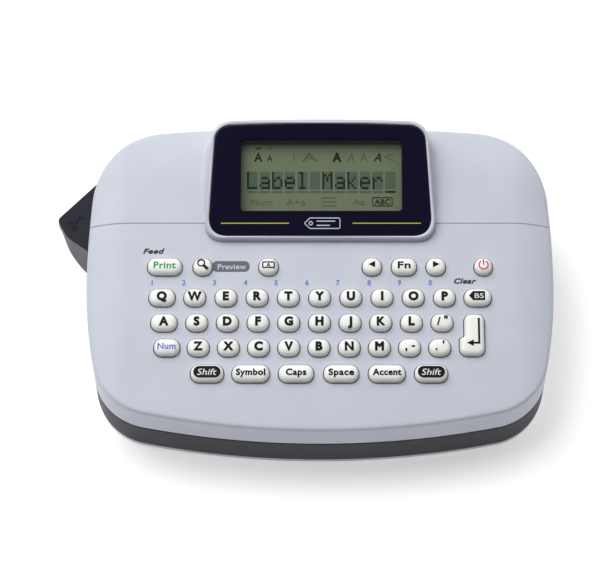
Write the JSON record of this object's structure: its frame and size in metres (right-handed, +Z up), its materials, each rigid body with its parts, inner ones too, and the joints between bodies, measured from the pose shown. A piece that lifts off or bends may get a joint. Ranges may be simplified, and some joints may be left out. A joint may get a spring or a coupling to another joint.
{
  "type": "label maker",
  "caption": "Desktop label maker: low rounded case with a tilted keyboard, a raised display hump, a side cutter lever and a snap-off base cover over the tape and battery bays.",
  "frame": {"origin": "middle of the flat underside, on the body's centre line", "axes": "+X to the right of the keyboard, +Y to the rear (towards the display), +Z up"},
  "size_m": [0.1714, 0.1086, 0.0517],
  "materials": {
    "shell": "fine satin moulded texture",
    "dark_case": "matte moulded",
    "cover": "matte moulded",
    "lens": "polished, printed behind, with a clear window",
    "lcd_glass": "reflective liquid crystal glass",
    "key_plastic": "satin, printed legends",
    "silicone": "matte",
    "circuit_board": "solder mask",
    "cassette": "satin",
    "roller_rubber": "matte",
    "ceramic": "glazed ceramic",
    "steel": "bright",
    "gear_brass": "machined",
    "lever": "satin, slightly lighter on its thumb face"
  },
  "bodies": {
    "housing": {"front_case": "shell", "rear_case": "shell", "bottom_case": "dark_case", "display_lens": "lens", "lcd_panel": "lcd_glass", "keypad_mat": "silicone", "main_board": "circuit_board", "tape_cassette": "cassette", "print_head": "ceramic", "feed_motor": "steel"},
    "back_cover": {"back_cover": "cover"},
    "cutter": {"cutter_lever": "lever", "cutter_blade": "steel"},
    "platen": {"platen_roller": "roller_rubber"},
    "pinion": {"motor_pinion": "gear_brass"},
    "key_print": {"key_print": "key_plastic"},
    "key_preview": {"key_preview": "key_plastic"},
    "key_frame": {"key_frame": "key_plastic"},
    "key_left": {"key_left": "key_plastic"},
    "key_fn": {"key_fn": "key_plastic"},
    "key_right": {"key_right": "key_plastic"},
    "key_power": {"key_power": "key_plastic"},
    "key_q": {"key_q": "key_plastic"},
    "key_w": {"key_w": "key_plastic"},
    "key_e": {"key_e": "key_plastic"},
    "key_r": {"key_r": "key_plastic"},
    "key_t": {"key_t": "key_plastic"},
    "key_y": {"key_y": "key_plastic"},
    "key_u": {"key_u": "key_plastic"},
    "key_i": {"key_i": "key_plastic"},
    "key_o": {"key_o": "key_plastic"},
    "key_p": {"key_p": "key_plastic"},
    "key_backspace": {"key_backspace": "key_plastic"},
    "key_a": {"key_a": "key_plastic"},
    "key_s": {"key_s": "key_plastic"},
    "key_d": {"key_d": "key_plastic"},
    "key_f": {"key_f": "key_plastic"},
    "key_g": {"key_g": "key_plastic"},
    "key_h": {"key_h": "key_plastic"},
    "key_j": {"key_j": "key_plastic"},
    "key_k": {"key_k": "key_plastic"},
    "key_l": {"key_l": "key_plastic"},
    "key_slash": {"key_slash": "key_plastic"},
    "key_num": {"key_num": "key_plastic"},
    "key_z": {"key_z": "key_plastic"},
    "key_x": {"key_x": "key_plastic"},
    "key_c": {"key_c": "key_plastic"},
    "key_v": {"key_v": "key_plastic"},
    "key_b": {"key_b": "key_plastic"},
    "key_n": {"key_n": "key_plastic"},
    "key_m": {"key_m": "key_plastic"},
    "key_comma": {"key_comma": "key_plastic"},
    "key_period": {"key_period": "key_plastic"},
    "key_shift_left": {"key_shift_left": "key_plastic"},
    "key_symbol": {"key_symbol": "key_plastic"},
    "key_caps": {"key_caps": "key_plastic"},
    "key_space": {"key_space": "key_plastic"},
    "key_accent": {"key_accent": "key_plastic"},
    "key_shift_right": {"key_shift_right": "key_plastic"},
    "key_enter": {"key_enter": "key_plastic"}
  },
  "joints": [
    {"name": "cutter_press", "type": "hinge", "parent": "housing", "child": "cutter", "pos_m": [-0.048, 0.03, 0.0295], "axis": [0, 0, 1], "range_deg": [-8, 0], "stiffness_Nm_per_rad": 0.6},
    {"name": "platen_spin", "type": "hinge", "parent": "housing", "child": "platen", "pos_m": [-0.061, 0.0375, 0.016], "axis": [0, 0, 1], "continuous": true},
    {"name": "pinion_spin", "type": "hinge", "parent": "housing", "child": "pinion", "pos_m": [-0.04944, 0.04125, 0.02625], "axis": [0, 0, 1], "continuous": true},
    {"name": "cover_lift", "type": "slide", "parent": "housing", "child": "back_cover", "axis": [0, 0, -1], "range_m": [0, 0.03]},
    {"name": "press_print", "type": "slide", "parent": "housing", "child": "key_print", "axis": [0, -0.1736, 0.9848], "range_m": [-0.001, 0], "stiffness_N_per_m": 400},
    {"name": "press_preview", "type": "slide", "parent": "housing", "child": "key_preview", "axis": [0, -0.1736, 0.9848], "range_m": [-0.001, 0], "stiffness_N_per_m": 400},
    {"name": "press_frame", "type": "slide", "parent": "housing", "child": "key_frame", "axis": [0, -0.1736, 0.9848], "range_m": [-0.001, 0], "stiffness_N_per_m": 400},
    {"name": "press_left", "type": "slide", "parent": "housing", "child": "key_left", "axis": [0, -0.1736, 0.9848], "range_m": [-0.001, 0], "stiffness_N_per_m": 400},
    {"name": "press_fn", "type": "slide", "parent": "housing", "child": "key_fn", "axis": [0, -0.1736, 0.9848], "range_m": [-0.001, 0], "stiffness_N_per_m": 400},
    {"name": "press_right", "type": "slide", "parent": "housing", "child": "key_right", "axis": [0, -0.1736, 0.9848], "range_m": [-0.001, 0], "stiffness_N_per_m": 400},
    {"name": "press_power", "type": "slide", "parent": "housing", "child": "key_power", "axis": [0, -0.1736, 0.9848], "range_m": [-0.001, 0], "stiffness_N_per_m": 400},
    {"name": "press_q", "type": "slide", "parent": "housing", "child": "key_q", "axis": [0, -0.1736, 0.9848], "range_m": [-0.001, 0], "stiffness_N_per_m": 400},
    {"name": "press_w", "type": "slide", "parent": "housing", "child": "key_w", "axis": [0, -0.1736, 0.9848], "range_m": [-0.001, 0], "stiffness_N_per_m": 400},
    {"name": "press_e", "type": "slide", "parent": "housing", "child": "key_e", "axis": [0, -0.1736, 0.9848], "range_m": [-0.001, 0], "stiffness_N_per_m": 400},
    {"name": "press_r", "type": "slide", "parent": "housing", "child": "key_r", "axis": [0, -0.1736, 0.9848], "range_m": [-0.001, 0], "stiffness_N_per_m": 400},
    {"name": "press_t", "type": "slide", "parent": "housing", "child": "key_t", "axis": [0, -0.1736, 0.9848], "range_m": [-0.001, 0], "stiffness_N_per_m": 400},
    {"name": "press_y", "type": "slide", "parent": "housing", "child": "key_y", "axis": [0, -0.1736, 0.9848], "range_m": [-0.001, 0], "stiffness_N_per_m": 400},
    {"name": "press_u", "type": "slide", "parent": "housing", "child": "key_u", "axis": [0, -0.1736, 0.9848], "range_m": [-0.001, 0], "stiffness_N_per_m": 400},
    {"name": "press_i", "type": "slide", "parent": "housing", "child": "key_i", "axis": [0, -0.1736, 0.9848], "range_m": [-0.001, 0], "stiffness_N_per_m": 400},
    {"name": "press_o", "type": "slide", "parent": "housing", "child": "key_o", "axis": [0, -0.1736, 0.9848], "range_m": [-0.001, 0], "stiffness_N_per_m": 400},
    {"name": "press_p", "type": "slide", "parent": "housing", "child": "key_p", "axis": [0, -0.1736, 0.9848], "range_m": [-0.001, 0], "stiffness_N_per_m": 400},
    {"name": "press_backspace", "type": "slide", "parent": "housing", "child": "key_backspace", "axis": [0, -0.1736, 0.9848], "range_m": [-0.001, 0], "stiffness_N_per_m": 400},
    {"name": "press_a", "type": "slide", "parent": "housing", "child": "key_a", "axis": [0, -0.1736, 0.9848], "range_m": [-0.001, 0], "stiffness_N_per_m": 400},
    {"name": "press_s", "type": "slide", "parent": "housing", "child": "key_s", "axis": [0, -0.1736, 0.9848], "range_m": [-0.001, 0], "stiffness_N_per_m": 400},
    {"name": "press_d", "type": "slide", "parent": "housing", "child": "key_d", "axis": [0, -0.1736, 0.9848], "range_m": [-0.001, 0], "stiffness_N_per_m": 400},
    {"name": "press_f", "type": "slide", "parent": "housing", "child": "key_f", "axis": [0, -0.1736, 0.9848], "range_m": [-0.001, 0], "stiffness_N_per_m": 400},
    {"name": "press_g", "type": "slide", "parent": "housing", "child": "key_g", "axis": [0, -0.1736, 0.9848], "range_m": [-0.001, 0], "stiffness_N_per_m": 400},
    {"name": "press_h", "type": "slide", "parent": "housing", "child": "key_h", "axis": [0, -0.1736, 0.9848], "range_m": [-0.001, 0], "stiffness_N_per_m": 400},
    {"name": "press_j", "type": "slide", "parent": "housing", "child": "key_j", "axis": [0, -0.1736, 0.9848], "range_m": [-0.001, 0], "stiffness_N_per_m": 400},
    {"name": "press_k", "type": "slide", "parent": "housing", "child": "key_k", "axis": [0, -0.1736, 0.9848], "range_m": [-0.001, 0], "stiffness_N_per_m": 400},
    {"name": "press_l", "type": "slide", "parent": "housing", "child": "key_l", "axis": [0, -0.1736, 0.9848], "range_m": [-0.001, 0], "stiffness_N_per_m": 400},
    {"name": "press_slash", "type": "slide", "parent": "housing", "child": "key_slash", "axis": [0, -0.1736, 0.9848], "range_m": [-0.001, 0], "stiffness_N_per_m": 400},
    {"name": "press_num", "type": "slide", "parent": "housing", "child": "key_num", "axis": [0, -0.1736, 0.9848], "range_m": [-0.001, 0], "stiffness_N_per_m": 400},
    {"name": "press_z", "type": "slide", "parent": "housing", "child": "key_z", "axis": [0, -0.1736, 0.9848], "range_m": [-0.001, 0], "stiffness_N_per_m": 400},
    {"name": "press_x", "type": "slide", "parent": "housing", "child": "key_x", "axis": [0, -0.1736, 0.9848], "range_m": [-0.001, 0], "stiffness_N_per_m": 400},
    {"name": "press_c", "type": "slide", "parent": "housing", "child": "key_c", "axis": [0, -0.1736, 0.9848], "range_m": [-0.001, 0], "stiffness_N_per_m": 400},
    {"name": "press_v", "type": "slide", "parent": "housing", "child": "key_v", "axis": [0, -0.1736, 0.9848], "range_m": [-0.001, 0], "stiffness_N_per_m": 400},
    {"name": "press_b", "type": "slide", "parent": "housing", "child": "key_b", "axis": [0, -0.1736, 0.9848], "range_m": [-0.001, 0], "stiffness_N_per_m": 400},
    {"name": "press_n", "type": "slide", "parent": "housing", "child": "key_n", "axis": [0, -0.1736, 0.9848], "range_m": [-0.001, 0], "stiffness_N_per_m": 400},
    {"name": "press_m", "type": "slide", "parent": "housing", "child": "key_m", "axis": [0, -0.1736, 0.9848], "range_m": [-0.001, 0], "stiffness_N_per_m": 400},
    {"name": "press_comma", "type": "slide", "parent": "housing", "child": "key_comma", "axis": [0, -0.1736, 0.9848], "range_m": [-0.001, 0], "stiffness_N_per_m": 400},
    {"name": "press_period", "type": "slide", "parent": "housing", "child": "key_period", "axis": [0, -0.1736, 0.9848], "range_m": [-0.001, 0], "stiffness_N_per_m": 400},
    {"name": "press_shift_left", "type": "slide", "parent": "housing", "child": "key_shift_left", "axis": [0, -0.1736, 0.9848], "range_m": [-0.001, 0], "stiffness_N_per_m": 400},
    {"name": "press_symbol", "type": "slide", "parent": "housing", "child": "key_symbol", "axis": [0, -0.1736, 0.9848], "range_m": [-0.001, 0], "stiffness_N_per_m": 400},
    {"name": "press_caps", "type": "slide", "parent": "housing", "child": "key_caps", "axis": [0, -0.1736, 0.9848], "range_m": [-0.001, 0], "stiffness_N_per_m": 400},
    {"name": "press_space", "type": "slide", "parent": "housing", "child": "key_space", "axis": [0, -0.1736, 0.9848], "range_m": [-0.001, 0], "stiffness_N_per_m": 400},
    {"name": "press_accent", "type": "slide", "parent": "housing", "child": "key_accent", "axis": [0, -0.1736, 0.9848], "range_m": [-0.001, 0], "stiffness_N_per_m": 400},
    {"name": "press_shift_right", "type": "slide", "parent": "housing", "child": "key_shift_right", "axis": [0, -0.1736, 0.9848], "range_m": [-0.001, 0], "stiffness_N_per_m": 400},
    {"name": "press_enter", "type": "slide", "parent": "housing", "child": "key_enter", "axis": [0, -0.1736, 0.9848], "range_m": [-0.001, 0], "stiffness_N_per_m": 400}
  ],
  "couplings": [
    {"joint": "pinion_spin", "follows": "platen_spin", "ratio": -2}
  ]
}
